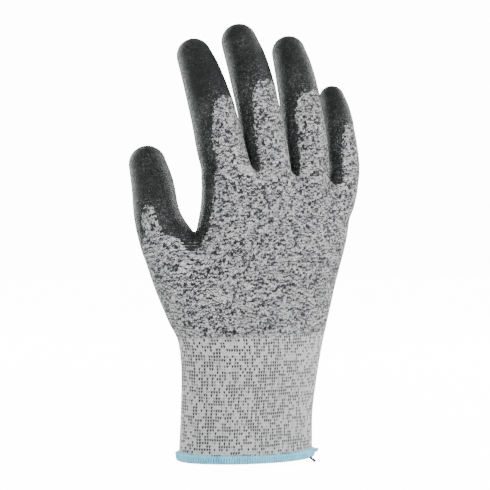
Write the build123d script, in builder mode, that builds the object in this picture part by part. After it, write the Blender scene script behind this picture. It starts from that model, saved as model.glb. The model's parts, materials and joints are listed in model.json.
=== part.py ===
"""Palm-coated, cut resistant knitted glove for the right hand, in the open shape it has on a hand.

Units are millimetres. The origin is the centre of the hand opening, +Z runs up the glove to the
fingertips, the back of the hand faces -Y, the coated palm faces +Y and the thumb is on the -X side.

The knitted liner is one textile on the real glove. Here it is cut where the glove folds, so that each
stretch between two folds is a rigid body. A finger's fold lines lie on its coated side, which neither
stretches nor shortens, while the knitted back stretches open. The wrist band stretches both ways.
"""

import os
from math import cos, pi, radians, sin

from build123d import *

# Textile
knit_wall = 1.2  # thickness of the knitted liner
coat_film = 0.4  # thickness of the coating that stands proud of the knit
fold_gap = 0.4  # free space between two stretches of knit at a fold
pivot_skin = 0.6  # a finger's fold line lies this far outside its knit, just clear of the coating

# Cuff: height, centre x, half width, half depth
cuff_foot = 1.0  # height of the cut edge inside the hem
cuff_top = 60.0
cuff_sections = (
    (0.0, 0.0, 37.8, 24.0),
    (25.0, 0.6, 37.0, 24.0),
    (cuff_top, 3.2, 40.2, 24.6),
)
hem_height = 5.0
hem_outside = 1.7  # how far the hem stands proud of the cuff
hem_inside = 1.0  # how far the hem reaches inside the cuff
hem_round = 0.8

elastic_count = 8
elastic_radius = 0.3
elastic_clearance = 0.1
elastic_first = 8.0
elastic_pitch = 4.2

tail_foot = (36.6, -11.6, 2.2)  # where the hem thread is tied off
tail_knot_radius = 1.5
tail_radius = 0.4
tail_length = 5.0
tail_direction = (0.55, -0.35, -0.55)

# Wrist band, the stretch of knit that gives when the wrist bends
wrist_top = 80.0

# Palm: height, centre x, centre y, half width, half depth
palm_sections = (
    (wrist_top, 2.2, 0.0, 46.0, 21.6),
    (98.0, 6.9, -0.8, 45.4, 18.2),
    (118.0, 13.0, -2.0, 44.8, 16.0),
    (138.0, 16.8, -3.4, 43.8, 14.4),
    (152.0, 18.6, -4.0, 45.4, 13.0),
)
palm_roof = 1.2  # wall between the fingers, at the crotches
stub_depth = 14.0  # how far a finger's root reaches down into the palm
stub_taper = 0.88  # and how much narrower it is there
thumb_root = (  # centre and radius of the thumb's root, inside the palm and at the ball of the thumb
    ((-16.5, 3.0, 82.0), 20.0),
    ((-34.5, 6.0, 105.0), 19.0),
)
palm_coat_foot = 88.0
palm_coat_edge = 1.0  # the palm's coating starts at this depth

# Fingers. lean (sideways) and tilt (to the palm side) give the straight finger's direction, back turns
# its back towards the little finger, and bends are the angles at its folds with the hand at rest.
fingers = {
    "index": {
        "base": (-14.3, -4.0, 162.0), "lean": -9.7, "tilt": 0.0, "back": 12.0,
        "lengths": (20.5, 21.8, 22.2), "radii": (13.0, 12.5, 10.9, 9.3), "bends": (6.0, 8.0, 8.0),
    },
    "middle": {
        "base": (11.6, -5.0, 161.0), "lean": -7.6, "tilt": 0.0, "back": 10.0,
        "lengths": (24.0, 25.0, 26.4), "radii": (10.9, 11.4, 11.0, 9.7), "bends": (6.0, 8.0, 8.0),
    },
    "ring": {
        "base": (34.6, -4.6, 159.5), "lean": -3.2, "tilt": 0.0, "back": 8.0,
        "lengths": (22.0, 24.0, 24.7), "radii": (10.5, 10.8, 10.1, 9.2), "bends": (6.0, 8.0, 8.0),
    },
    "little": {
        "base": (56.9, -2.6, 155.5), "lean": -2.2, "tilt": 0.0, "back": 6.0,
        "lengths": (15.2, 15.4, 17.0), "radii": (8.8, 8.8, 8.0, 6.9), "bends": (6.0, 9.0, 9.0),
    },
    "thumb": {
        "base": (-45.9, 7.6, 126.5), "lean": -9.0, "tilt": 9.0, "back": -4.0,
        "lengths": (20.0, 23.0), "radii": (12.8, 11.4, 10.0), "bends": (4.0, 6.0),
    },
}  # fmt: skip
stretch_names = {2: ("proximal", "distal"), 3: ("proximal", "middle", "distal")}
coat_side = 0.35  # a finger's coating reaches this share of its radius past its middle, to the back


def straight_plane(finger):
    """The plane of a finger's first fold, before any bend: centred on the finger, its x axis across
    the finger, its y axis to the palm side and its z axis up the straight finger."""
    lean, tilt, back = (radians(finger[key]) for key in ("lean", "tilt", "back"))
    along = Vector(sin(lean) * cos(tilt), sin(tilt), cos(lean) * cos(tilt))
    across = Vector(cos(back), sin(back), 0)
    across = (across - along * across.dot(along)).normalized()
    return Plane(origin=finger["base"], x_dir=across, z_dir=along)


def bent(plane, angle):
    """The plane turned about its own x axis, to the palm side."""
    turn = radians(angle)
    along = plane.z_dir * cos(turn) + plane.y_dir * sin(turn)
    return Plane(origin=plane.origin, x_dir=plane.x_dir, z_dir=along)


def stretch_planes(finger):
    """One plane for each stretch of a finger. Its origin is on the fold line below the stretch, and
    the middle of the stretch runs along its z axis, one radius and pivot_skin behind the fold line."""
    base = straight_plane(finger)
    radii = finger["radii"]
    fold = base.origin + base.y_dir * (radii[0] + pivot_skin)
    plane = Plane(origin=fold, x_dir=base.x_dir, z_dir=base.z_dir)
    planes = []
    for index, length in enumerate(finger["lengths"]):
        plane = bent(plane, finger["bends"][index])
        planes.append(plane)
        step = plane.z_dir * (length + fold_gap) + plane.y_dir * (radii[index + 1] - radii[index])
        plane = Plane(origin=plane.origin + step, x_dir=plane.x_dir, z_dir=plane.z_dir)
    return planes


def tube(length, foot_radius, head_radius, wall):
    """A tapered tube up the z axis, one foot radius and pivot_skin behind the x axis. The radii are the
    knit's, and the wall is (how far it reaches in, how far it reaches out)."""
    inward, outward = wall
    middle = (0, -(foot_radius + pivot_skin))
    with BuildPart() as made:
        for grow, mode in ((outward, Mode.ADD), (-inward, Mode.SUBTRACT)):
            for height, radius in ((0, foot_radius), (length, head_radius)):
                with BuildSketch(Plane.XY.offset(height)):
                    with Locations(middle):
                        Circle(radius + grow)
            loft(mode=mode)
    return made.part


def tip(length, foot_radius, dome_radius, wall):
    """A fingertip placed like a tube: tapered, with a domed end, hollow and open at its foot."""
    inward, outward = wall
    middle = (0, -(foot_radius + pivot_skin), 0)
    shoulder = length - dome_radius
    with BuildPart() as made:
        for grow, mode in ((outward, Mode.ADD), (-inward, Mode.SUBTRACT)):
            with BuildSketch(Plane(origin=middle, x_dir=(1, 0, 0), z_dir=(0, -1, 0))):
                with BuildLine():
                    end = CenterArc((0, shoulder), dome_radius + grow, 0, 90)
                    Polyline(end @ 1, (0, 0), (foot_radius + grow, 0), end @ 0)
                make_face()
            revolve(axis=Axis(middle, (0, 0, 1)), mode=mode)
    return made.part


def palm_side_only(film, length, foot_radius):
    """A finger's film without its stretch on the back of the finger."""
    edge = -(foot_radius + pivot_skin) - coat_side * foot_radius
    block = 4 * foot_radius
    with BuildPart() as made:
        add(film)
        with Locations((0, edge - block / 2, length / 2)):
            Box(block, block, 2 * length, mode=Mode.SUBTRACT)
    return made.part


def section_at(sections, height):
    """The elliptical section (centre x, half width, half depth) at a height between the given ones."""
    for low, high in zip(sections, sections[1:]):
        if height <= high[0]:
            break
    share = (height - low[0]) / (high[0] - low[0])
    return tuple(a + (b - a) * share for a, b in zip(low[1:], high[1:]))


def ellipse_tube(sections, grow, foot, head):
    """A closed body through elliptical sections (height, centre x, half width, half depth)."""
    with BuildPart() as made:
        for height, centre, half_width, half_depth in sections:
            with BuildSketch(Plane.XY.offset(height)):
                with Locations((centre, 0)):
                    Ellipse(half_width + grow, half_depth + grow)
        loft(ruled=True)
        split(bisect_by=Plane.XY.offset(foot), keep=Keep.TOP)
        split(bisect_by=Plane.XY.offset(head), keep=Keep.BOTTOM)
    return made.part


def palm_mass(grow, roof):
    """The palm, the ball of the thumb and the roots of the fingers as one body, grown by grow."""
    with BuildPart() as made:
        last = len(palm_sections) - 1
        for number, (height, x, y, half_width, half_depth) in enumerate(palm_sections):
            level = height - roof if number == last else height
            with BuildSketch(Plane.XY.offset(level)):
                with Locations((x, y)):
                    Ellipse(half_width + grow, half_depth + grow)
        loft()
        thumb_plane = straight_plane(fingers["thumb"]).offset(-fold_gap)
        centres = [Vector(*centre) for centre, _ in thumb_root] + [thumb_plane.origin]
        for (centre, radius), after in zip(thumb_root, centres[1:]):
            with BuildSketch(Plane(origin=centre, z_dir=after - Vector(*centre))):
                Circle(radius + grow)
        with BuildSketch(thumb_plane):
            Circle(fingers["thumb"]["radii"][0] + grow)
        loft()
        for name, finger in fingers.items():
            if name != "thumb":
                for depth, share in ((fold_gap, 1), (stub_depth, stub_taper)):
                    with BuildSketch(straight_plane(finger).offset(-depth)):
                        Circle(finger["radii"][0] * share + grow)
                loft()
        split(bisect_by=Plane.XY.offset(wrist_top), keep=Keep.TOP)
    return made.part


def save(part, name):
    part.label = name
    export_step(part, f"parts/{name}.step")


os.makedirs("parts", exist_ok=True)

# Cuff: a plain knitted tube
with BuildPart() as cuff_knit:
    add(ellipse_tube(cuff_sections, 0, cuff_foot, cuff_top - fold_gap))
    add(ellipse_tube(cuff_sections, -knit_wall, cuff_foot, cuff_top - fold_gap), mode=Mode.SUBTRACT)
save(cuff_knit.part, "cuff_knit")

# Hem: the overlock thread wrapped round the cuff's cut edge
with BuildPart() as hem_overlock:
    add(ellipse_tube(cuff_sections, hem_outside, 0, hem_height))
    fillet(hem_overlock.edges(), hem_round)
    add(ellipse_tube(cuff_sections, -knit_wall - hem_inside, 0, hem_height), mode=Mode.SUBTRACT)
    add(cuff_knit.part, mode=Mode.SUBTRACT)
save(hem_overlock.part, "hem_overlock")

# Elastic yarns laid into the cuff, which keep it tight on the wrist
with BuildPart() as cuff_elastic:
    inset = knit_wall + elastic_radius + elastic_clearance
    for number in range(elastic_count):
        height = elastic_first + number * elastic_pitch
        centre, half_width, half_depth = section_at(cuff_sections, height)
        with BuildLine(Plane.XY.offset(height)):
            ring = EllipticalCenterArc((centre, 0), half_width - inset, half_depth - inset, arc_size=360)
        with BuildSketch(Plane(origin=ring @ 0, x_dir=(1, 0, 0), z_dir=ring % 0)):
            Circle(elastic_radius)
        sweep(path=ring)
save(cuff_elastic.part, "cuff_elastic")

# Tail: the hem thread's knot and its cut end
with BuildPart() as hem_tail:
    with Locations(tail_foot):
        Sphere(tail_knot_radius)
    with BuildSketch(Plane(origin=tail_foot, z_dir=tail_direction)):
        Circle(tail_radius)
    extrude(amount=tail_length)
    add(hem_overlock.part, mode=Mode.SUBTRACT)
save(hem_tail.part, "hem_tail")

# Wrist band: the stretch of knit between the cuff and the palm
wrist_sections = (cuff_sections[-1], (wrist_top, palm_sections[0][1], *palm_sections[0][3:]))
with BuildPart() as wrist_band_knit:
    add(ellipse_tube(wrist_sections, 0, cuff_top, wrist_top - fold_gap))
    add(ellipse_tube(wrist_sections, -knit_wall, cuff_top, wrist_top - fold_gap), mode=Mode.SUBTRACT)
save(wrist_band_knit.part, "wrist_band_knit")

# Palm: the knitted hand, open at the wrist and at every finger, and the coating on its palm side
with BuildPart() as palm_knit:
    add(palm_mass(0, 0))
    add(palm_mass(-knit_wall, palm_roof), mode=Mode.SUBTRACT)
save(palm_knit.part, "palm_knit")

with BuildPart() as palm_coating:
    add(palm_mass(coat_film, -coat_film))
    add(palm_mass(0, 0), mode=Mode.SUBTRACT)
    split(bisect_by=Plane.XZ.offset(-palm_coat_edge), keep=Keep.BOTTOM)
    split(bisect_by=Plane.XY.offset(palm_coat_foot), keep=Keep.TOP)
save(palm_coating.part, "palm_coating")

# Fingers and thumb
for name, finger in fingers.items():
    stretches = stretch_names[len(finger["lengths"])]
    radii = finger["radii"]
    for index, (stretch, plane) in enumerate(zip(stretches, stretch_planes(finger))):
        size = (finger["lengths"][index], radii[index], radii[index + 1])
        shape = tip if stretch == "distal" else tube
        knit = shape(*size, (knit_wall, 0))
        film = shape(*size, (0, coat_film))
        if stretch != "distal":
            film = palm_side_only(film, *size[:2])
        save(plane.location * knit, f"{name}_{stretch}_knit")
        save(plane.location * film, f"{name}_{stretch}_coating")
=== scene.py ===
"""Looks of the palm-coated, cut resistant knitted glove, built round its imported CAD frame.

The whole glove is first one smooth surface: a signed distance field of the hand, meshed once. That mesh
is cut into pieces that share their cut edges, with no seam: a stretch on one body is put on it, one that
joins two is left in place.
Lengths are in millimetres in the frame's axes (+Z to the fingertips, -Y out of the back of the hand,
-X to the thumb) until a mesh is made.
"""

import json
from math import cos, pi, radians, sin

import bpy
import numpy as np
import openvdb
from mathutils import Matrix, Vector


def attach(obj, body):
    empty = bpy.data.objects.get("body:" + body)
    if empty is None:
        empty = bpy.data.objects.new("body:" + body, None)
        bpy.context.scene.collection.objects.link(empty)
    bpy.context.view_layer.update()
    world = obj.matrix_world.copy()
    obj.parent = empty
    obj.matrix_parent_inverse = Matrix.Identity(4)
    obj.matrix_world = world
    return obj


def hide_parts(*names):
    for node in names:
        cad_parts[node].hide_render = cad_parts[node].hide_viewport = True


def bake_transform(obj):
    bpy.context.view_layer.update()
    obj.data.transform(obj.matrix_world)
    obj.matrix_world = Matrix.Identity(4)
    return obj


MM = 0.001

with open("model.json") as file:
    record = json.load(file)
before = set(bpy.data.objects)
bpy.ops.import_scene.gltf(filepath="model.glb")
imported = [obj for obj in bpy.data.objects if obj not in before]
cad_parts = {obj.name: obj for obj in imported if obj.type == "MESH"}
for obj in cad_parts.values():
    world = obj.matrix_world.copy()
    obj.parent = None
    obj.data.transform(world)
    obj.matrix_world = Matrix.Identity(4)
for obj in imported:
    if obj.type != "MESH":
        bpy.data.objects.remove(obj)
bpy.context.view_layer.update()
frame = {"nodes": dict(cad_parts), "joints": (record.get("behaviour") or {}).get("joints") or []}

# ---------------------------------------------------------------- the hand, as driving dimensions

PIVOT_SKIN = 0.6  # a finger's fold line lies this far outside its knit
KNIT_WALL = 1.1
FILM = 0.35  # how far the coating stands out of the knit
FILM_RISE = (0.2, 1.8)  # it rises out of the knit between these distances inside its edge
FILM_DEPTH = 0.7  # and reaches this far into the knit

# Hand sections: height, centre x, centre y, half width, half depth, squareness
HAND = np.array([
    (-8.0, -0.4, 0.0, 37.9, 24.0, 2.0),
    (0.0, -0.4, 0.0, 37.9, 24.0, 2.0),
    (25.0, 0.2, 0.0, 37.2, 24.0, 2.0),
    (48.0, 2.2, 0.0, 38.7, 24.3, 2.0),
    (62.0, 3.0, 0.0, 40.6, 24.0, 2.0),
    (80.0, 2.2, 0.0, 46.0, 21.4, 2.1),
    (98.0, 6.9, -0.8, 45.2, 18.2, 2.3),
    (118.0, 13.9, -2.0, 43.8, 16.0, 2.4),
    (138.0, 16.8, -3.4, 43.0, 14.4, 2.5),
    (152.0, 18.6, -4.0, 44.8, 13.0, 2.5),
    (175.0, 18.6, -4.0, 44.8, 12.0, 2.5),
])
HAND_SMOOTHING = 5.0
SMOOTHING_REACH = 15
CROTCH_LEVEL = ((-20.0, 156.6), (5.0, 155.6), (28.0, 153.4), (50.0, 149.4), (70.0, 147.0))  # x, height

# The ball of the thumb, from inside the palm: centre and radius
THUMB_ROOT = (((-24.0, 3.0, 84.0), 21.0), ((-34.5, 6.0, 102.0), 17.6))

# Fingers: knit radius at each fold and at the tip's centre, length of the end stretch and its bend, and
# how far the middle line at each fold lies to the little finger's side
FINGERS = {
    "index": {"radii": (13.0, 12.3, 10.7, 9.2), "end": 22.2, "bend": 8.0, "shift": (0.0, -0.2, -0.2)},
    "middle": {"radii": (11.2, 11.6, 11.0, 9.6), "end": 26.4, "bend": 8.0, "shift": (-0.3, -0.7, -0.2)},
    "ring": {"radii": (11.1, 11.4, 10.5, 9.1), "end": 24.7, "bend": 8.0, "shift": (0.2, -0.4, -0.3)},
    "little": {"radii": (8.8, 8.8, 8.0, 6.8), "end": 17.0, "bend": 9.0},
    "thumb": {"radii": (12.7, 11.3, 9.9), "end": 23.0, "bend": 6.0, "shift": (-1.2, -0.3)},
}
ROOT_DEPTH = 16.0  # a finger's root reaches this far below its first fold
ROOT_PULL = 0.1  # and its foot is drawn in by this share of its distance from the middle of the hand
ROOT_SLENDER = 0.86  # the foot's radius as a share of the finger's first
ROOT_BLEND = 5.0  # roundness where a finger leaves the palm
THUMB_BLEND = 3.0
CROTCH_BLEND = 7.0  # roundness of the palm's own top edge

LINE_STEPS = 4  # pieces of a centre line between two of its points

CELL = 1.0  # size of the meshing grid
GRID_LOW = (-70.0, -32.0, -4.0)
GRID_HIGH = (74.0, 38.0, 250.0)
FAR = 9.0  # distances aren't followed further than this


def unit(vector):
    return vector / np.linalg.norm(vector)


def rows_unit(rows):
    return rows / np.maximum(np.linalg.norm(rows, axis=-1, keepdims=True), 1e-9)


def joint_of(name):
    """(pivot in mm, axis) of a joint."""
    joint = next(j for j in frame["joints"] if j["name"] == name)
    return np.array(joint["pos_m"]) / MM, unit(np.array(joint["axis"]))


def turned(vector, axis, angle):
    """vector turned about a unit axis by the right-hand rule, in degrees."""
    a = radians(angle)
    return vector * cos(a) + np.cross(axis, vector) * sin(a) + axis * axis.dot(vector) * (1 - cos(a))


class Finger:
    """Where one finger runs: its folds, the direction of each stretch and its centre line."""

    def __init__(self, name, spec):
        self.name = name
        self.radii = spec["radii"]
        names = ["knuckle", "middle_fold", "tip_fold"] if len(self.radii) == 4 else ["knuckle", "tip_fold"]
        found = [joint_of(f"{name}_{fold}") for fold in names]
        self.pivots = [pivot for pivot, _ in found]
        self.across = -found[0][1]
        self.along = []
        for low, high, r_low, r_high in zip(self.pivots, self.pivots[1:], self.radii, self.radii[1:]):
            way = unit(high - low)
            slope = np.arcsin((r_high - r_low) / np.linalg.norm(high - low))
            self.along.append(turned(way, self.across, np.degrees(slope)))
        self.along.append(turned(self.along[-1], -self.across, spec["bend"]))
        self.palmar = [np.cross(way, self.across) for way in self.along]
        centres = [
            pivot - side * (radius + PIVOT_SKIN)
            for pivot, side, radius in zip(self.pivots, self.palmar, self.radii)
        ]
        for centre, shift in zip(centres, spec.get("shift", ())):
            centre[0] += shift
        tip = centres[-1] + self.along[-1] * (spec["end"] - self.radii[-1])
        self.centres = centres + [tip]
        if name == "thumb":
            root = [np.array(centre) for centre, _ in THUMB_ROOT]
            root_radii = [radius for _, radius in THUMB_ROOT]
        else:
            foot = centres[0] - self.along[0] * ROOT_DEPTH
            foot[0] += (HAND[-1, 1] - foot[0]) * ROOT_PULL
            root = [foot]
            root_radii = [self.radii[0] * ROOT_SLENDER]
        self.line, self.line_radii = smooth_line(root + self.centres, root_radii + list(self.radii))

    def distance(self, points):
        """Distance outside the finger's knit surface, far away from it FAR or more."""
        result = np.full(len(points), FAR)
        reach = max(self.line_radii) + FAR
        near = np.all((points > self.line.min(0) - reach) & (points < self.line.max(0) + reach), axis=1)
        close = points[near]
        best = np.full(len(close), FAR)
        for a, b, ra, rb in zip(self.line, self.line[1:], self.line_radii, self.line_radii[1:]):
            np.minimum(best, round_cone(close, a, b, ra, rb), out=best)
        result[near] = best
        return result


def smooth_line(points, radii):
    """A Catmull-Rom line through the points, with the radii carried along."""
    rows = np.column_stack([np.array(points), np.array(radii)])
    rows = np.vstack([2 * rows[0] - rows[1], rows, 2 * rows[-1] - rows[-2]])
    line = []
    for p0, p1, p2, p3 in zip(rows, rows[1:], rows[2:], rows[3:]):
        for t in np.arange(LINE_STEPS) / LINE_STEPS:
            line.append(0.5 * (
                2 * p1 + (p2 - p0) * t + (2 * p0 - 5 * p1 + 4 * p2 - p3) * t**2
                + (3 * p1 - p0 - 3 * p2 + p3) * t**3
            ))
    line.append(rows[-2])
    line = np.array(line)
    return line[:, :3], line[:, 3]


def round_cone(points, a, b, ra, rb):
    """Signed distance to a cone with round ends, from sphere (a, ra) to sphere (b, rb)."""
    axis = b - a
    length2 = axis @ axis
    drop = ra - rb
    slant2 = length2 - drop * drop
    offset = points - a
    y = offset @ axis
    z = y - length2
    across = offset * length2 - np.outer(y, axis)
    x2 = np.einsum("ij,ij->i", across, across)
    y2 = y * y * length2
    z2 = z * z * length2
    limit = np.sign(drop) * drop * drop * x2
    side = (np.sqrt(x2 * slant2 / length2) + y * drop) / length2 - ra
    far_end = np.sqrt(x2 + z2) / length2 - rb
    near_end = np.sqrt(x2 + y2) / length2 - ra
    result = np.where(np.sign(y) * slant2 * y2 < limit, near_end, side)
    return np.where(np.sign(z) * slant2 * z2 > limit, far_end, result)


def smooth_min(a, b, size):
    share = np.maximum(size - np.abs(a - b), 0) / size
    return np.minimum(a, b) - share * share * size / 4


def smooth_max(a, b, size):
    return -smooth_min(-a, -b, size)


def smoothstep(values, low, high):
    share = np.clip((values - low) / (high - low), 0, 1)
    return share * share * (3 - 2 * share)


def hand_section(height):
    """Centre x, centre y, half width, half depth and squareness of the hand at each height."""
    levels = np.arange(HAND[0, 0], HAND[-1, 0] + 1)
    reach = np.arange(-SMOOTHING_REACH, SMOOTHING_REACH + 1)
    kernel = np.exp(-0.5 * (reach / HAND_SMOOTHING) ** 2)
    columns = []
    for column in HAND.T[1:]:
        values = np.interp(levels, HAND[:, 0], column)
        padded = np.pad(values, SMOOTHING_REACH, mode="edge")
        smooth = np.convolve(padded, kernel / kernel.sum(), mode="valid")
        columns.append(np.interp(height, levels, smooth))
    return columns


def palm_distance(points):
    x, y, z = points.T
    centre_x, centre_y, width, depth, power = hand_section(z)
    u = np.abs(x - centre_x) / width
    v = np.abs(y - centre_y) / depth
    total = np.maximum(u**power + v**power, 1e-9)
    level = total ** (1 / power)
    slope = np.hypot(u ** (power - 1) / width, v ** (power - 1) / depth) * total ** (1 / power - 1)
    side = (level - 1) / np.maximum(slope, 1e-4)
    crotch = np.interp(x, *zip(*CROTCH_LEVEL))
    return smooth_max(side, z - crotch, CROTCH_BLEND)


fingers = {name: Finger(name, spec) for name, spec in FINGERS.items()}


def glove_distance(points):
    """Signed distance outside the knit surface. Each finger rounds into the palm, not into its neighbour."""
    palm = palm_distance(points)
    total = palm.copy()
    for finger in fingers.values():
        size = THUMB_BLEND if finger.name == "thumb" else ROOT_BLEND
        total = np.minimum(total, smooth_min(palm, finger.distance(points), size))
    return total


def gradient(points, step=0.35):
    shifts = np.eye(3) * step
    rows = [glove_distance(points + shift) - glove_distance(points - shift) for shift in shifts]
    return np.array(rows).T / (2 * step)


def glove_surface():
    """Vertices, quads and normals of the closed glove surface."""
    axes = [np.arange(low, high + CELL / 2, CELL) for low, high in zip(GRID_LOW, GRID_HIGH)]
    grid = np.array(np.meshgrid(*axes, indexing="ij")).reshape(3, -1).T
    field = glove_distance(grid).reshape([len(axis) for axis in axes])
    volume = openvdb.FloatGrid(background=FAR)
    volume.copyFromArray(np.clip(field, -FAR, FAR).astype(np.float32))
    points, quads = volume.convertToQuads(0.0)
    points = points.astype(float) * CELL + np.array(GRID_LOW)
    for _ in range(3):
        slope = gradient(points)
        size2 = np.maximum(np.einsum("ij,ij->i", slope, slope), 0.2)
        points -= slope * (glove_distance(points) / size2)[:, None]
    slope = gradient(points)
    normals = slope / np.maximum(np.linalg.norm(slope, axis=1), 1e-6)[:, None]
    a, b, c, d = (points[quads[:, i]] for i in range(4))
    facing = np.einsum("ij,ij->i", np.cross(c - a, d - b), normals[quads[:, 0]])
    if np.sum(facing) < 0:
        quads = quads[:, ::-1]
    return points, quads.astype(np.int64), normals


# ---------------------------------------------------------------- knit directions and film, per vertex

WALE_WIDTH = 44.0  # the wales are spread as on a palm of this half width
WALES_TURN = ((-14.0, 4.0), (-26.0, 6.0))  # heights over which wales turn into a finger, and into the thumb
HALF_TURN = np.linspace(0, pi / 2, 91)
FLATNESS = 0.4  # depth over width of the section that the wales are spread on
ARC_STEPS = np.hypot(np.cos(HALF_TURN[:-1]), FLATNESS * np.sin(HALF_TURN[:-1])) * pi / 180
ARC = np.concatenate([[0], np.cumsum(ARC_STEPS)])

# The bare knit on the back of each finger: its left edge near its top and at its foot and its right edge,
# as angles from the back of the hand (positive to the little finger), the height of its rounded top and
# the height of that round. The thumb's opens out below: each edge goes to another angle between heights.
TONGUES = {
    "index": {"left": (-17.0, -38.0), "right": 75.0, "top": 195.8, "arch": 13.0},
    "middle": {"left": (-30.0, -47.0), "right": 75.0, "top": 205.8, "arch": 17.0},
    "ring": {"left": (-37.0, -46.0), "right": 72.0, "top": 201.0, "arch": 14.0},
    "little": {"left": (-14.0, -26.0), "right": 78.0, "top": 184.0, "arch": 11.0},
    "thumb": {"left": (-50.0, -62.0), "right": -20.0, "top": 136.8, "arch": 7.0},
}
THUMB_LEFT = (-110.0, 126.0, 105.0)  # angle, and the heights between which the edge turns to it
THUMB_RIGHT = (137.0, 123.0, 113.0)
TONGUE_FOOT = 6.0  # this far below its first fold a tongue starts to widen into the back of the hand
TONGUE_WIDENING = 1.2
FILM_FOOT = 84.0  # the palm's film ends at this height
FILM_FOOT_ARCH = 3.0  # give or take this much, in an arch of this length round this middle
FILM_FOOT_ROUND = (4.0, 26.0)
CROTCH_COVER = 1.5  # the film comes this far down the back from the crotches
FILM_SIDE = ((-62.0, 15.0), (-45.0, 12.0), (-28.0, 6.0), (0.0, 3.0), (66.0, 3.0))  # x, depth of its edge
# The film's band round the thumb's crotch: its middle line, and its reach along it
WEB = ((-25.0, -6.0, 162.0), (-26.0, -4.5, 148.0), (-27.0, -3.5, 134.0), (-29.0, -2.5, 124.0),
       (-34.5, -1.5, 116.5), (-38.5, 0.0, 121.0), (-40.0, 5.0, 138.0))
WEB_REACH = (8.6, 8.4, 8.2, 8.4, 8.2, 8.2, 6.2)
WEB_BLEND = 2.0
PALM_SIDE = 13.0  # knit deeper than this is always covered
WEB_PALM = ((-38.0, -10.0), 3.0, 104.0)  # so is all between the thumb and the index: x, depth and height
TONGUE_LIMIT = 100.0  # widest half angle of a tongue's foot
FINGER_REACH = 4.0  # surface within this distance of a finger belongs to it
THUMB_SHARE = (100.0, 110.0)  # the thumb's own film edge takes over from the hand's between these heights


def polyline_distance(points, line, reach):
    """Distance to a line of capsules whose radius changes along it."""
    line = np.array(line)
    best = np.full(len(points), FAR * 4)
    for a, b, ra, rb in zip(line, line[1:], reach, reach[1:]):
        axis = b - a
        share = np.clip((points - a) @ axis / (axis @ axis), 0, 1)
        gap = np.linalg.norm(points - a - share[:, None] * axis, axis=1)
        best = np.minimum(best, gap - (ra + (rb - ra) * share))
    return best


def along_line(finger, points):
    """For points near a finger: height along its centre line from the first fold, and angle round it."""
    start = 2 if finger.name == "thumb" else 1
    line = finger.line
    lengths = np.concatenate([[0], np.cumsum(np.linalg.norm(np.diff(line, axis=0), axis=1))])
    lengths -= lengths[start * LINE_STEPS]
    gap = np.full(len(points), np.inf)
    height = np.zeros(len(points))
    angle = np.zeros(len(points))
    for i, (a, b) in enumerate(zip(line, line[1:])):
        axis = b - a
        raw = (points - a) @ axis / (axis @ axis)
        low = -np.inf if i == 0 else 0.0
        high = np.inf if i == len(line) - 2 else 1.0
        share = np.clip(raw, low, high)
        offset = points - a - share[:, None] * axis
        distance = np.linalg.norm(offset, axis=1)
        closer = distance < gap
        way = unit(axis)
        back = -np.cross(way, finger.across)
        turn = np.arctan2(offset @ unit(np.cross(back, way)) * -1, offset @ back)
        gap[closer] = distance[closer]
        height[closer] = (lengths[i] + share * np.linalg.norm(axis))[closer]
        angle[closer] = turn[closer]
    return height, angle


def world_angle(finger, points):
    """Angle round a finger from the direction of the hand's back, -Y, positive towards +X."""
    line = finger.line
    centre = np.array([np.interp(points[:, 2], line[:, 2], line[:, i]) for i in (0, 1)]).T
    offset = points[:, :2] - centre
    return np.degrees(np.arctan2(offset[:, 0], -offset[:, 1]))


def tongue_edge(finger, spec, points):
    """Distance in mm outside the bare tongue on the back of a finger."""
    z = points[:, 2]
    top_left, foot_left = spec["left"]
    left = foot_left + (top_left - foot_left) * smoothstep(z, finger.centres[0][2], spec["top"])
    right = np.full(len(z), spec["right"])
    below = np.maximum(finger.centres[0][2] - TONGUE_FOOT - z, 0) * TONGUE_WIDENING
    if finger.name == "thumb":
        left += (THUMB_LEFT[0] - left) * smoothstep(-z, -THUMB_LEFT[1], -THUMB_LEFT[2])
        right += (THUMB_RIGHT[0] - right) * smoothstep(-z, -THUMB_RIGHT[1], -THUMB_RIGHT[2])
        below = 0.0
    radius = np.interp(z, finger.line[:, 2], finger.line_radii)
    turn = (world_angle(finger, points) - (left + right) / 2 + 180) % 360 - 180
    across = np.abs(np.radians(turn)) * radius
    half = np.radians(right - left) / 2 * radius + below
    if finger.name != "thumb":
        half = np.minimum(half, np.radians(TONGUE_LIMIT) * radius)
    arch = spec["arch"]
    over = np.clip((z - spec["top"] + arch) / arch, 0, None)
    size = np.where(over > 0, np.minimum(half, arch), half)
    edge = (np.sqrt((across / half) ** 2 + over**2) - 1) * size
    return np.where(z > spec["top"], np.maximum(edge, z - spec["top"]), edge)


def film_edge(points):
    """Positive where the film covers the knit: roughly the distance in mm to the film's edge."""
    x, y, z = points.T
    crotch = np.interp(x, *zip(*CROTCH_LEVEL)) - CROTCH_COVER
    side = np.interp(x, *zip(*FILM_SIDE))
    edge = np.maximum(z - crotch, y - side)
    gaps = np.array([finger.distance(points) for finger in fingers.values()])
    nearest = gaps.argmin(0)
    for number, finger in enumerate(fingers.values()):
        mine = (nearest == number) & (gaps[number] < FINGER_REACH)
        tongue = tongue_edge(finger, TONGUES[finger.name], points[mine])
        if finger.name == "thumb":
            share = smoothstep(z[mine], *THUMB_SHARE)
            edge[mine] += (tongue - edge[mine]) * share
        else:
            edge[mine] = np.minimum(edge[mine], tongue)
    (left, right), depth, low = WEB_PALM
    between = np.minimum.reduce([x - left, right - x, y - depth, z - low])
    edge = np.maximum(edge, np.maximum(y - PALM_SIDE, between))
    middle, length = FILM_FOOT_ROUND
    edge = np.minimum(edge, z - FILM_FOOT - FILM_FOOT_ARCH * np.cos((x - middle) / length))
    return smooth_max(edge, -polyline_distance(points, WEB, WEB_REACH), WEB_BLEND)


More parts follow.
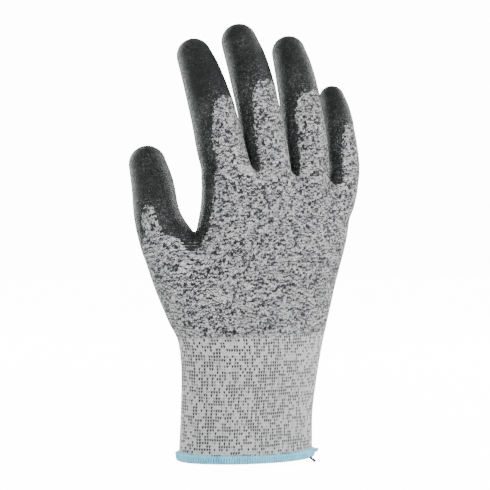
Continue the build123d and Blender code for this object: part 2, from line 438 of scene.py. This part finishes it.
def hand_across(points):
    """Knit coordinate in mm across the hand's wales, from the middle of its back round both sides."""
    x, y, z = points.T
    centre_x, centre_y, width, depth, _ = hand_section(z)
    turn = np.arctan2((x - centre_x) / width, -(y - centre_y) / depth)
    lateral = np.abs(turn)
    lateral = np.where(lateral > pi / 2, pi - lateral, lateral)
    return np.sign(turn) * WALE_WIDTH * np.interp(lateral, HALF_TURN, ARC)


def knit_directions(points):
    """Knit coordinates in mm: across the wales, and up the courses."""
    across = hand_across(points)
    up = points[:, 2].copy()
    for finger in fingers.values():
        near = finger.distance(points) < FINGER_REACH
        height, angle = along_line(finger, points[near])
        side = np.where(np.abs(angle) > pi / 2, np.sign(angle) * (pi - np.abs(angle)), angle)
        foot = finger.centres[0] - finger.palmar[0] * finger.radii[0]
        own = hand_across(foot[None])[0] + side * finger.radii[0]
        share = smoothstep(height, *WALES_TURN[finger.name == "thumb"])
        across[near] += (own - across[near]) * share
        up[near] += (finger.centres[0][2] + height - up[near]) * share
    return across, up


# ---------------------------------------------------------------- cutting the surface into pieces

# Lengths along each finger, from its folds: where the bend over a fold starts and ends
KNUCKLE_ZONE = (-2.0, 10.0)
FOLD_ZONE = {"index": 7.0, "middle": 7.0, "ring": 7.0, "little": 5.0, "thumb": 6.0}
# Bends at the wrist: the bodies, and the heights where the bend starts and ends
WRIST_BENDS = {
    "wrist": (("cuff", "wrist_band"), 42.0, 68.0),
    "palm": (("wrist_band", "palm"), 72.0, 98.0),
}
CUFF_TOP = 41.0  # heights where the cuff ends and where the stretch over the wrist does
WRIST_TOP = 70.0
HEM_CUT = 1.5  # the knit ends inside the hem at this height
# What the CAD calls each stretch of the hand and of a finger
CAD_NODES = {"cuff": "cuff", "wrist": "wrist_band", "palm": "palm"}
STRETCH = {"base": "proximal", "middle": "middle", "tip": "distal"}
UV_UNIT = 100.0  # millimetres in one unit of the knit map and of the rest position
CUFF_TONE = 67.6  # the lighter yarn starts below this height in the middle of the hand
CUFF_TONE_RISE = 0.025  # and this much higher for each mm towards the little finger


class Zone:
    """One piece of the surface: its name, the bodies it joins and where it bends between them."""

    def __init__(self, name, bodies, start=None, end=None):
        self.name = name
        self.bodies = bodies
        self.start = start
        self.end = end


def finger_zones(finger):
    """The pieces of a finger with the plane (point, direction) above which each begins."""
    labels = ["base", "middle", "tip"] if len(finger.pivots) == 3 else ["base", "tip"]
    fold = FOLD_ZONE[finger.name]
    zones = []
    below = "palm"
    for i, (pivot, label) in enumerate(zip(finger.pivots, labels)):
        body = f"{finger.name}_{STRETCH[label]}"
        way = finger.along[i - 1] if i else finger.along[0]
        low, high = (-fold, fold) if i else KNUCKLE_ZONE
        if i == 0:
            plane = (pivot + way * low, way)
        else:
            before = KNUCKLE_ZONE[1] if i == 1 else fold
            length = (pivot - finger.pivots[i - 1]) @ way
            plane = (finger.pivots[i - 1] + way * (before + length - fold) / 2, way)
        zone = Zone(f"{finger.name}_{label}", (below, body), pivot + way * low, pivot + way * high)
        zones.append((zone, plane))
        below = body
    return zones


def assign_zones(middles):
    """The zones, and the number of the zone that each face belongs to."""
    zones = [Zone("cuff", ("cuff",))]
    for name, (bodies, low, high) in WRIST_BENDS.items():
        zones.append(Zone(name, bodies, np.array([0, 0, low]), np.array([0, 0, high])))
    number = np.where(middles[:, 2] < CUFF_TOP, 0, np.where(middles[:, 2] < WRIST_TOP, 1, 2))
    distances = np.array([finger.distance(middles) for finger in fingers.values()])
    nearest = distances.argmin(0)
    for index, finger in enumerate(fingers.values()):
        mine = (nearest == index) & (distances[index] < FINGER_REACH)
        for zone, (point, way) in finger_zones(finger):
            zones.append(zone)
            number[mine & ((middles - point) @ way > 0)] = len(zones) - 1
    return zones, number


def shell(name, outer, inner, outer_normals, faces, fields):
    """A closed shell between two skins that share their faces, with rims where the faces end."""
    used, local = np.unique(faces, return_inverse=True)
    local = local.reshape(-1, 4)
    count = len(used)
    edges = np.concatenate([local[:, [i, (i + 1) % 4]] for i in range(4)])
    keys = np.sort(edges, axis=1)
    _, first, uses = np.unique(keys, axis=0, return_index=True, return_counts=True)
    rim = edges[first[uses == 1]]
    rims = np.column_stack([rim[:, 1], rim[:, 0], rim[:, 0] + count, rim[:, 1] + count])
    all_faces = np.concatenate([local, local[:, ::-1] + count, rims])
    vertices = np.concatenate([outer[used], inner[used]]) * MM
    mesh = bpy.data.meshes.new(name)
    mesh.vertices.add(len(vertices))
    mesh.vertices.foreach_set("co", vertices.astype(np.float32).ravel())
    mesh.loops.add(all_faces.size)
    mesh.loops.foreach_set("vertex_index", all_faces.astype(np.int32).ravel())
    mesh.polygons.add(len(all_faces))
    mesh.polygons.foreach_set("loop_start", np.arange(0, all_faces.size, 4, dtype=np.int32))
    mesh.update(calc_edges=True)
    mesh.validate()
    layer = mesh.uv_layers.new(name="knit")
    coordinates = np.column_stack([fields["across"], fields["up"]])[used]
    both = np.concatenate([coordinates, coordinates]) / UV_UNIT
    corner = np.zeros(len(mesh.loops), np.int32)
    mesh.loops.foreach_get("vertex_index", corner)
    layer.data.foreach_set("uv", both[corner].astype(np.float32).ravel())
    for key in ("film", "light"):
        attribute = mesh.attributes.new(key, "FLOAT", "POINT")
        values = fields[key][used]
        attribute.data.foreach_set("value", np.concatenate([values, values]).astype(np.float32))
    rest = mesh.attributes.new("rest", "FLOAT_VECTOR", "POINT")
    rest.data.foreach_set("vector", (vertices / MM / UV_UNIT).astype(np.float32).ravel())
    smooth = np.concatenate([outer_normals[used], -outer_normals[used]])
    mesh.normals_split_custom_set_from_vertices(smooth.tolist())
    made = bpy.data.objects.new(name, mesh)
    bpy.context.scene.collection.objects.link(made)
    return made


def place(piece, zone):
    """Puts a piece on its body; a piece that joins two bodies keeps its place, baked into its mesh."""
    if len(zone.bodies) == 1:
        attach(piece, zone.bodies[0])
    else:
        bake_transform(piece)


points, quads, normals = glove_surface()
keep = points[quads].min(axis=1)[:, 2] > HEM_CUT - CELL
quads = quads[keep]
edge = film_edge(points)
across, up = knit_directions(points)
tone = points[:, 2] - points[:, 0] * CUFF_TONE_RISE - CUFF_TONE
fields = {"film": edge, "across": across, "up": up, "light": 1 - smoothstep(tone, -0.5, 0.5)}
zones, zone_of = assign_zones(points[quads].mean(axis=1))
lift = -FILM + 2 * FILM * smoothstep(edge, *FILM_RISE)
knit_inside = points - normals * KNIT_WALL
film_outside = points + normals * lift[:, None]
film_inside = points - normals * FILM_DEPTH
pieces = {}
for number, zone in enumerate(zones):
    faces = quads[zone_of == number]
    name = f"knit_{zone.name}"
    pieces[name] = shell(name, points, knit_inside, normals, faces, fields)
    covered = faces[(edge[faces] > FILM_RISE[0]).any(axis=1)]
    if len(covered):
        name = f"coat_{zone.name}"
        pieces[name] = shell(name, film_outside, film_inside, normals, covered, fields)

# ---------------------------------------------------------------- materials

WALE = 1.45  # width of a stitch
COURSE = 1.22  # height of a stitch in the hand
CUFF_COURSE = 1.7  # and in the cuff
DRIFT_SCALE = 14.0  # the rows and columns wander by this noise
DRIFT = (1.1, 0.9)  # so many columns and rows at most
RELIEF = 0.0004  # depth of the stitches' bump in metres
THREAD_RELIEF = 0.00012
HAND_YARNS = ((0.0, (0.010, 0.010, 0.012)), (0.355, (0.016, 0.016, 0.018)), (0.455, (0.16, 0.16, 0.17)),
              (0.54, (0.50, 0.50, 0.52)), (0.85, (1.0, 1.0, 1.0)))
HAND_SHADE = (0.010, 0.010, 0.012)
CUFF_LIGHT = (1.0, 1.0, 1.0)
CUFF_GAP_SHADE = (0.003, 0.003, 0.004)
FILM_TONES = ((0.30, (0.003, 0.004, 0.004)), (0.48, (0.008, 0.010, 0.010)), (0.60, (0.026, 0.029, 0.029)),
              (0.75, (0.075, 0.076, 0.076)))


class Graph:
    """A material's node tree, with short calls for what is used often."""

    def __init__(self, name):
        self.material = bpy.data.materials.new(name)
        self.material.use_nodes = True
        self.tree = self.material.node_tree
        self.shader = self.tree.nodes["Principled BSDF"]

    def node(self, kind, settings=None, **inputs):
        """A node with its inputs by name, or by number as _0, _1 and so on."""
        made = self.tree.nodes.new(kind)
        for key, value in (settings or {}).items():
            setattr(made, key, value)
        for key, value in inputs.items():
            socket = int(key[1:]) if key[0] == "_" else key
            self.link(value, made.inputs[socket])
        return made

    def link(self, value, socket):
        if isinstance(value, bpy.types.NodeSocket):
            self.tree.links.new(value, socket)
        else:
            socket.default_value = value

    def math(self, operation, *values):
        made = self.tree.nodes.new("ShaderNodeMath")
        made.operation = operation
        for value, socket in zip(values, made.inputs):
            self.link(value, socket)
        return made.outputs[0]

    def weighted(self, *terms):
        """The sum of values times their weights."""
        total = 0.0
        for value, weight in terms:
            total = self.math("ADD", total, self.math("MULTIPLY", value, weight))
        return total

    def halves(self, value):
        """The number of the half unit that a value is in."""
        return self.math("FLOOR", self.math("MULTIPLY", value, 2.0))

    def bump(self, height, distance):
        made = self.node("ShaderNodeBump", None, Strength=1.0, Distance=distance, Height=height)
        self.link(made.outputs[0], self.shader.inputs["Normal"])

    def surface(self, **constants):
        """Sets the shader's plain values, named as on the node with _ for a space."""
        for name, value in constants.items():
            self.shader.inputs[name.replace("_", " ")].default_value = value

    def step(self, value, low, high):
        """0 below low, 1 above high, smooth between."""
        smooth = {"interpolation_type": "SMOOTHSTEP"}
        return self.node("ShaderNodeMapRange", smooth, _0=value, _1=low, _2=high).outputs[0]

    def mix(self, share, a, b):
        made = self.node("ShaderNodeMix", {"data_type": "RGBA"})
        self.link(share, made.inputs[0])
        for color, socket in ((a, made.inputs[6]), (b, made.inputs[7])):
            self.link(color if isinstance(color, bpy.types.NodeSocket) else (*color, 1), socket)
        return made.outputs[2]

    def ramp(self, value, stops):
        made = self.node("ShaderNodeValToRGB", _0=value)
        elements = made.color_ramp.elements
        while len(elements) < len(stops):
            elements.new(0.5)
        for element, (position, color) in zip(elements, stops):
            element.position = position
            element.color = (*color, 1)
        return made.outputs[0]

    def random(self, *values):
        vector = self.node("ShaderNodeCombineXYZ", None, **{f"_{i}": v for i, v in enumerate(values)})
        noise = self.node("ShaderNodeTexWhiteNoise", {"noise_dimensions": "3D"}, Vector=vector.outputs[0])
        return noise.outputs["Value"]

    def noise(self, vector, scale, detail=2.0):
        made = self.node("ShaderNodeTexNoise", None, Vector=vector, Scale=scale, Detail=detail)
        return made.outputs["Fac"]

    def attribute(self, name, output="Fac"):
        return self.node("ShaderNodeAttribute", {"attribute_name": name}).outputs[output]


def stitches(graph, course):
    """Jersey stitches: relief from 0 to 1, place within the course, and the stitch's column, row and leg."""
    uv = graph.node("ShaderNodeUVMap", {"uv_map": "knit"}).outputs[0]
    parts = graph.node("ShaderNodeSeparateXYZ", None, _0=uv)
    drift = graph.noise(graph.attribute("rest", "Vector"), DRIFT_SCALE)
    column = graph.weighted((parts.outputs[0], UV_UNIT / WALE), (drift, DRIFT[0]))
    middle = graph.weighted((graph.math("FRACT", column), 2.0), (1.0, -1.0))
    middle = graph.math("ABSOLUTE", middle)
    row = graph.weighted((parts.outputs[1], UV_UNIT / course), (middle, -0.5), (drift, DRIFT[1]))
    within = graph.math("FRACT", row)
    off_leg = graph.math("ABSOLUTE", graph.weighted((middle, 2.0), (1.0, -0.9)))
    leg = graph.math("POWER", graph.math("MAXIMUM", graph.math("SUBTRACT", 1.0, off_leg), 0.0), 0.6)
    swell = graph.math("SINE", graph.math("MULTIPLY", within, pi))
    relief = graph.math("MULTIPLY", leg, graph.weighted((swell, 0.7), (1.0, 0.3)))
    return relief, within, middle, graph.math("FLOOR", column), row, graph.halves(column)


def hand_yarns(graph, column, height, leg):
    """Melange yarns: most of a fleck's tone comes from its stitch, the rest from its neighbours."""
    row = graph.math("FLOOR", height)
    half_row = graph.halves(height)
    hairs = graph.noise(graph.attribute("rest", "Vector"), 120.0, 1.0)
    pair = graph.math("FLOOR", graph.weighted((column, 0.5), (graph.random(row, 7.0, 1.0), 2.0)))
    fleck = graph.weighted(
        (graph.random(column, half_row, 3.0), 0.42),
        (graph.random(leg, half_row, 8.0), 0.30),
        (graph.random(pair, row, 5.0), 0.14),
        (hairs, 0.5),
        (1.0, -0.18),
    )
    return graph.ramp(fleck, HAND_YARNS)


def cuff_yarns(graph, relief, within, middle, column, height, leg):
    """Light yarns, with dark spots of painted shade in rows and columns at the gaps between stitches, of
    which some are faint, and fainter painted shade along the stitches' hollows.
    """
    row = graph.math("FLOOR", graph.math("ADD", height, 0.5))
    row_line = graph.step(graph.math("ABSOLUTE", graph.math("SUBTRACT", within, 0.5)), 0.0, 0.18)
    column_line = graph.step(middle, 0.50, 0.15)
    chosen = graph.weighted((graph.step(graph.random(column, row, 9.0), 0.80, 0.40), 0.80), (1.0, 0.20))
    # Painted shade: dark spots where the gaps between courses meet the middle of a column.
    spots = graph.math("MULTIPLY", row_line, graph.step(middle, 0.92, 0.52))
    spots = graph.math("MULTIPLY", spots, chosen)
    # Faint painted shade along the gaps between courses and down the middle of each column, between a
    # stitch's legs.
    hollow_shade_lines = graph.math("MULTIPLY", graph.math("MAXIMUM", row_line, column_line), 0.16)
    color = graph.mix(graph.math("MAXIMUM", spots, hollow_shade_lines), CUFF_LIGHT, CUFF_GAP_SHADE)
    # Tone that differs at random from leg to leg, times painted shade where the stitches' relief is low.
    uneven = graph.weighted((graph.random(leg, graph.halves(height), 6.0), 0.22), (1.0, 0.78))
    shade = graph.math("MULTIPLY", uneven, graph.weighted((relief, 0.3), (1.0, 0.7)))
    return graph.mix(shade, HAND_SHADE, color)


def knit_color(graph):
    """The knit's colour with painted shade in the stitches' hollows, its relief, and a chance for each half
    stitch.
    """
    relief, _, _, column, height, leg = stitches(graph, COURSE)
    hand = hand_yarns(graph, column, height, leg)
    # Painted shade: the hand's yarns are darkened towards HAND_SHADE where the stitches' relief is low.
    hand = graph.mix(graph.weighted((relief, 0.55), (1.0, 0.45)), HAND_SHADE, hand)
    cuff_stitches = stitches(graph, CUFF_COURSE)
    cuff = cuff_yarns(graph, *cuff_stitches)
    light = graph.attribute("light")
    height_now = graph.node("ShaderNodeMix", None, _0=light, _2=relief, _3=cuff_stitches[0]).outputs[0]
    return graph.mix(light, hand, cuff), height_now, graph.random(leg, graph.halves(height), 12.0)


def film_color(graph):
    """The film's colour, with blotches and grain, and that grain."""
    rest = graph.attribute("rest", "Vector")
    grain = graph.noise(rest, 105.0, 1.0)
    blotch = graph.noise(rest, 8.0, 2.0)
    return graph.ramp(graph.weighted((blotch, 0.4), (grain, 0.75), (1.0, -0.08)), FILM_TONES), grain


def knit_material():
    """Bare yarns. Stitch by stitch they are soaked with film up to where the coating begins."""
    graph = Graph("knit")
    color, height, chance = knit_color(graph)
    film, _ = film_color(graph)
    ragged = graph.weighted((graph.attribute("film"), 1.0), (chance, 1.9), (height, -0.8), (1.0, -0.75))
    soaked = graph.step(ragged, 0.0, 0.45)
    graph.link(graph.mix(soaked, color, film), graph.shader.inputs["Base Color"])
    graph.surface(Roughness=0.9, Specular_IOR_Level=0.25, Sheen_Weight=0.25, Sheen_Roughness=0.45)
    graph.bump(height, RELIEF)
    return graph.material


def coat_material():
    """Matte film that shows the knit under it, with yarns worn bare along its edge."""
    graph = Graph("coat")
    knit, height, chance = knit_color(graph)
    film, grain = film_color(graph)
    near_edge = graph.step(graph.attribute("film"), 14.0, 0.4)
    threshold = graph.weighted((near_edge, -0.42), (1.0, 0.99))
    worn = graph.math("GREATER_THAN", chance, threshold)
    worn = graph.math("MULTIPLY", worn, graph.step(height, 0.30, 0.75))
    shown = graph.math("MULTIPLY", worn, graph.weighted((near_edge, 0.20), (1.0, 0.05)))
    graph.link(graph.mix(shown, film, knit), graph.shader.inputs["Base Color"])
    graph.link(graph.weighted((grain, 0.5), (1.0, 0.22)), graph.shader.inputs["Roughness"])
    graph.surface(Specular_IOR_Level=0.25, Sheen_Weight=0.02, Sheen_Roughness=0.3)
    graph.surface(Sheen_Tint=(0.85, 1.0, 0.95, 1))
    graph.bump(graph.weighted((height, 0.7), (grain, 1.0)), RELIEF)
    return graph.material


def thread_material(name, color, shade):
    """Twisted thread: streaked colour, darker in its hollows as painted shade, with a soft sheen."""
    graph = Graph(name)
    coordinates = graph.node("ShaderNodeTexCoord").outputs["Object"]
    streaks = graph.noise(coordinates, 1900.0, 2.0)
    patches = graph.noise(coordinates, 160.0, 1.0)
    # The streaks give the bump too, so where they are low the colour goes to the shade colour: painted shade
    # in the hollows.
    tone = graph.ramp(graph.weighted((streaks, 0.6), (patches, 0.4)), ((0.30, shade), (0.62, color)))
    graph.link(tone, graph.shader.inputs["Base Color"])
    graph.surface(Roughness=0.75, Sheen_Weight=0.3)
    graph.bump(streaks, THREAD_RELIEF)
    return graph.material


KNIT = knit_material()
COAT = coat_material()
for name, piece in pieces.items():
    piece.data.materials.append(COAT if name.startswith("coat") else KNIT)

for zone in zones:
    if zone.name in CAD_NODES:
        node = CAD_NODES[zone.name]
    else:
        finger_name, label = zone.name.split("_")
        node = f"{finger_name}_{STRETCH[label]}"
    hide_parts(f"{node}_knit")
    place(pieces[f"knit_{zone.name}"], zone)
    coat = pieces.get(f"coat_{zone.name}")
    if coat:
        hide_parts(f"{node}_coating")
        place(coat, zone)


# ---------------------------------------------------------------- hem and its thread tail

HEM_MIDDLE = 2.5  # height of the hem's middle line
HEM_OUT = -0.2  # and how far it lies outside the cuff
HEM_HALF = (1.35, 1.95)  # half thickness and half height of the band, inside its threads
HEM_SQUARENESS = 0.75  # power that swells its round section towards a square
BAND_RINGS = 240
BAND_SIDES = 16
WRAP_PITCH = 1.35  # from one wrap of the overlock thread to the next, along the hem
WRAP_POINTS = 18
WRAP_RADIUS = (0.60, 0.46)  # the thread is pulled tighter towards the little finger
WRAP_LOOSE_AT = 0.5  # turn in radians that the tightest place lies before the little finger's side
WRAP_SIDES = 6
CHAIN_RADIUS = 0.40
CHAIN_POINTS = 12  # for each loop
CHAIN_OUT = (0.28, 0.18)  # how far a chain lies off the band, and how much that varies
CHAIN_HEIGHT = (1.35, 0.30)
TAIL_FOOT = np.array([31.4, -14.4, 0.8])
TAIL_WAY = unit(np.array([0.62, -0.30, -0.50]))
TAIL_LENGTH = 3.6
STRAND_RADIUS = 0.40
STRAND_SPREAD = (0.34, 0.7)  # half the gap of the two strands, and the share by which it opens at the end
STRAND_TURNS = 2.2
KNOT_MIDDLE = np.array([36.2, -12.0, 4.3])
KNOT_RADIUS = 1.0
KNOT_THREAD = 0.42
KNOT_TURNS = 3
KNOT_POINTS = 120
UP = np.array([0.0, 0.0, 1.0])


def grid_faces(rings, sides, closed):
    """Quads between rings of points, joined round each ring and, if closed, from the last to the first."""
    faces = []
    for ring in range(rings if closed else rings - 1):
        after = (ring + 1) % rings
        for side in range(sides):
            beyond = (side + 1) % sides
            near = (ring * sides + side, ring * sides + beyond)
            faces.append((*near, after * sides + beyond, after * sides + side))
    return faces


def tube(line, outward, radii, sides=8, closed=False):
    """Vertices and faces of a tube along a line. outward says where its first side faces."""
    if closed:
        tangent = rows_unit(np.roll(line, -1, 0) - np.roll(line, 1, 0))
    else:
        tangent = rows_unit(np.gradient(line, axis=0))
    normal = rows_unit(outward - tangent * np.sum(outward * tangent, axis=1, keepdims=True))
    beside = np.cross(tangent, normal)
    turns = np.arange(sides) * 2 * pi / sides
    radii = np.broadcast_to(radii, len(line))[:, None, None]
    cosines = np.cos(turns)[None, :, None]
    sines = np.sin(turns)[None, :, None]
    round_it = cosines * normal[:, None] + sines * beside[:, None]
    vertices = (line[:, None] + radii * round_it).reshape(-1, 3)
    faces = grid_faces(len(line), sides, closed)
    if not closed:
        faces.append(tuple(range(sides))[::-1])
        faces.append(tuple(range((len(line) - 1) * sides, len(line) * sides)))
    return vertices, faces


def joined_mesh(name, parts, material):
    """One smooth object from several (vertices, faces)."""
    vertices, faces = [], []
    for part_vertices, part_faces in parts:
        base = len(vertices)
        vertices += [tuple(vertex * MM) for vertex in part_vertices]
        faces += [tuple(base + corner for corner in face) for face in part_faces]
    mesh = bpy.data.meshes.new(name)
    mesh.from_pydata(vertices, [], faces)
    mesh.update()
    mesh.shade_smooth()
    mesh.materials.append(material)
    made = bpy.data.objects.new(name, mesh)
    bpy.context.scene.collection.objects.link(made)
    return made


def hem_frame(turns):
    """Points on the cuff's edge at these turns round it, the outward directions there and its length."""
    centre_x, _, width, depth, _ = (float(value) for value in hand_section(0.0))
    steps = np.linspace(0, 2 * pi, 721)
    outline = np.column_stack([centre_x + width * np.cos(steps), depth * np.sin(steps)])
    lengths = np.concatenate([[0], np.cumsum(np.linalg.norm(np.diff(outline, axis=0), axis=1))])
    angle = np.interp(turns * lengths[-1], lengths, steps)
    cosine = np.cos(angle)
    sine = np.sin(angle)
    height = np.full(len(angle), HEM_MIDDLE)
    place_at = np.column_stack([centre_x + width * cosine, depth * sine, height])
    outward = rows_unit(np.column_stack([cosine / width, sine / depth, np.zeros(len(angle))]))
    return place_at, outward, lengths[-1]


def rounded(angle):
    """A circle's cosine and sine, swollen towards a square."""
    return [np.sign(f) * np.abs(f) ** HEM_SQUARENESS for f in (np.cos(angle), np.sin(angle))]


def hem_band():
    """The bundle of threads under the wraps, coloured dark as painted shade in the gaps between them."""
    place_at, outward, _ = hem_frame(np.arange(BAND_RINGS) / BAND_RINGS)
    rings = []
    for corner in range(BAND_SIDES):
        across, high = rounded(2 * pi * corner / BAND_SIDES)
        rings.append(place_at + outward * (HEM_OUT + HEM_HALF[0] * across) + UP * HEM_HALF[1] * high)
    vertices = np.array(rings).transpose(1, 0, 2).reshape(-1, 3)
    faces = grid_faces(BAND_RINGS, BAND_SIDES, closed=True)
    return vertices, [(a, d, c, b) for a, b, c, d in faces]


def hem_wraps():
    """One thread that winds round the band all the way along the hem."""
    _, _, length = hem_frame(np.zeros(1))
    wraps = round(length / WRAP_PITCH)
    turns = np.arange(wraps * WRAP_POINTS) / (wraps * WRAP_POINTS)
    place_at, outward, _ = hem_frame(turns)
    across, high = rounded(2 * pi * turns * wraps)
    offset = outward * (HEM_HALF[0] * across)[:, None] + UP * (HEM_HALF[1] * high)[:, None]
    tight = 0.5 + 0.5 * np.cos(2 * pi * turns + WRAP_LOOSE_AT)
    radii = WRAP_RADIUS[0] + (WRAP_RADIUS[1] - WRAP_RADIUS[0]) * tight
    line = place_at + outward * HEM_OUT + offset
    return tube(line, rows_unit(offset), radii, WRAP_SIDES, closed=True)


def hem_chain(side):
    """The chain of looper stitches that holds the wraps along one side of the hem's top."""
    _, _, length = hem_frame(np.zeros(1))
    loops = round(length / WRAP_PITCH / 2)
    turns = np.arange(loops * CHAIN_POINTS) / (loops * CHAIN_POINTS)
    place_at, outward, _ = hem_frame(turns)
    wave = 2 * pi * turns * loops
    out = HEM_OUT + side * (HEM_HALF[0] + CHAIN_OUT[0] + CHAIN_OUT[1] * np.cos(2 * wave))
    height = CHAIN_HEIGHT[0] + CHAIN_HEIGHT[1] * np.sin(wave)
    line = place_at + outward * out[:, None] + UP * height[:, None]
    return tube(line, outward, CHAIN_RADIUS, WRAP_SIDES, closed=True)


def tail_strands():
    """The cut end of the hem's threads: two strands twisted together."""
    side = unit(np.cross(TAIL_WAY, UP))
    other = np.cross(TAIL_WAY, side)
    share = np.linspace(0, 1, 40)[:, None]
    spread = STRAND_SPREAD[0] * (1 + STRAND_SPREAD[1] * share**3)
    parts = []
    for phase in (0.0, pi):
        turn = 2 * pi * STRAND_TURNS * share + phase
        round_it = side * np.cos(turn) + other * np.sin(turn)
        line = TAIL_FOOT + TAIL_WAY * TAIL_LENGTH * share + round_it * spread
        parts.append(tube(line, round_it, STRAND_RADIUS))
    return parts


def tail_knot():
    """The small knot where the hem's thread is tied off, wound like a trefoil."""
    turn = 2 * pi * np.arange(KNOT_POINTS) / KNOT_POINTS
    side = unit(np.cross(TAIL_WAY, UP))
    other = np.cross(TAIL_WAY, side)
    flat = KNOT_RADIUS * (0.62 + 0.38 * np.cos(KNOT_TURNS * turn))
    line = (
        KNOT_MIDDLE
        + np.outer(flat * np.cos(2 * turn), side)
        + np.outer(flat * np.sin(2 * turn), other)
        + np.outer(0.55 * KNOT_RADIUS * np.sin(KNOT_TURNS * turn), TAIL_WAY)
    )
    return tube(line, rows_unit(line - KNOT_MIDDLE), KNOT_THREAD, closed=True)


HEM_BLUE = (0.30, 0.90, 1.0)
HEM_SHADE = (0.12, 0.44, 0.80)
# Painted shade: the dark colour of the band, seen in the gaps between the wraps.
GAP_SHADE_BLUE = (0.03, 0.08, 0.13)
CUT_GREY = (0.05, 0.06, 0.075)
CUT_SHADE = (0.012, 0.014, 0.018)
ELASTIC_LIGHT = (0.72, 0.72, 0.74)
ELASTIC_SHADE = (0.38, 0.38, 0.40)
hem_thread = thread_material("hem_thread", HEM_BLUE, HEM_SHADE)
# Painted shade: the band under the wraps is coloured dark so the gaps between the wraps look shaded.
hem_gaps = thread_material("hem_gaps", HEM_SHADE, GAP_SHADE_BLUE)
cut_thread = thread_material("cut_thread", CUT_GREY, CUT_SHADE)
hem_pieces = [
    (joined_mesh("hem_band", [hem_band()], hem_gaps), "hem_overlock", "hem_thread"),
    (joined_mesh("hem_wraps", [hem_wraps()], hem_thread), "hem_overlock", "hem_thread"),
    (joined_mesh("hem_chains", [hem_chain(1), hem_chain(-1)], hem_thread), "hem_overlock", "hem_thread"),
    (joined_mesh("tail_knot", [tail_knot()], hem_thread), "hem_tail", "tail_thread"),
    (joined_mesh("tail_strands", tail_strands(), cut_thread), "hem_tail", "tail_thread"),
]
for piece, node, slot_name in hem_pieces:
    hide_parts(node)
    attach(piece, "cuff")

elastic_yarn = thread_material("elastic_yarn", ELASTIC_LIGHT, ELASTIC_SHADE)
for material_slot in frame["nodes"]["cuff_elastic"].material_slots:
    material_slot.material = elastic_yarn


# ---------------------------------------------------------------- stage

FLOOR_GLOW = 14.0  # brightness of the background for the camera
STUDIO_LIGHT = 0.75  # and as light on the glove
VIEW_AZIMUTH = radians(-20.0)
VIEW_RIGHT = Vector((cos(VIEW_AZIMUTH), sin(VIEW_AZIMUTH), 0))
VIEW_BACK = Vector((sin(VIEW_AZIMUTH), -cos(VIEW_AZIMUTH), 0))
VIEW_DISTANCE = 0.78
FRAME_WIDTH = 0.2679  # width of the view at the glove
TARGET = VIEW_RIGHT * -0.0009 + Vector((0, 0, 0.1164))

camera_data = bpy.data.cameras.new("camera")
camera_data.sensor_width = 36.0
camera_data.lens = camera_data.sensor_width * VIEW_DISTANCE / FRAME_WIDTH
camera = bpy.data.objects.new("camera", camera_data)
camera.location = TARGET + VIEW_BACK * VIEW_DISTANCE
camera.rotation_euler = (-VIEW_BACK).to_track_quat("-Z", "Y").to_euler()
bpy.context.scene.collection.objects.link(camera)
bpy.context.scene.camera = camera

world = bpy.data.worlds.new("studio")
world.use_nodes = True
sky = world.node_tree.nodes["Background"]
sky.inputs["Color"].default_value = (1, 1, 1, 1)
path = world.node_tree.nodes.new("ShaderNodeLightPath")
seen = world.node_tree.nodes.new("ShaderNodeMapRange")
seen.inputs["To Min"].default_value = STUDIO_LIGHT
seen.inputs["To Max"].default_value = FLOOR_GLOW
world.node_tree.links.new(path.outputs["Is Camera Ray"], seen.inputs["Value"])
world.node_tree.links.new(seen.outputs[0], sky.inputs["Strength"])
bpy.context.scene.world = world

bpy.ops.mesh.primitive_plane_add(size=8.0, location=(0, 0, -0.003))
floor = bpy.context.object
floor.name = "floor"
paper = Graph("floor")
glow = paper.math("MULTIPLY", paper.node("ShaderNodeLightPath").outputs["Is Camera Ray"], FLOOR_GLOW)
paper.surface(Base_Color=(0.9, 0.9, 0.9, 1), Roughness=0.8, Emission_Color=(1, 1, 1, 1))
paper.link(glow, paper.shader.inputs["Emission Strength"])
floor.data.materials.append(paper.material)


def area_light(name, place_at, size, power, color=(1, 1, 1)):
    data = bpy.data.lights.new(name, "AREA")
    data.energy = power
    data.size = size
    data.color = color
    lamp = bpy.data.objects.new(name, data)
    lamp.location = place_at
    lamp.rotation_euler = (Vector(place_at) - TARGET).to_track_quat("Z", "Y").to_euler()
    bpy.context.scene.collection.objects.link(lamp)


area_light("key", (-0.5, -1.2, 0.9), 0.9, 14)
area_light("fill", (1.0, -0.9, 0.4), 0.9, 12)
area_light("rim_left", (-0.5, 1.2, 0.35), 0.7, 16, (0.93, 1.0, 0.97))
area_light("rim_right", (1.1, 0.5, 0.4), 0.8, 16)
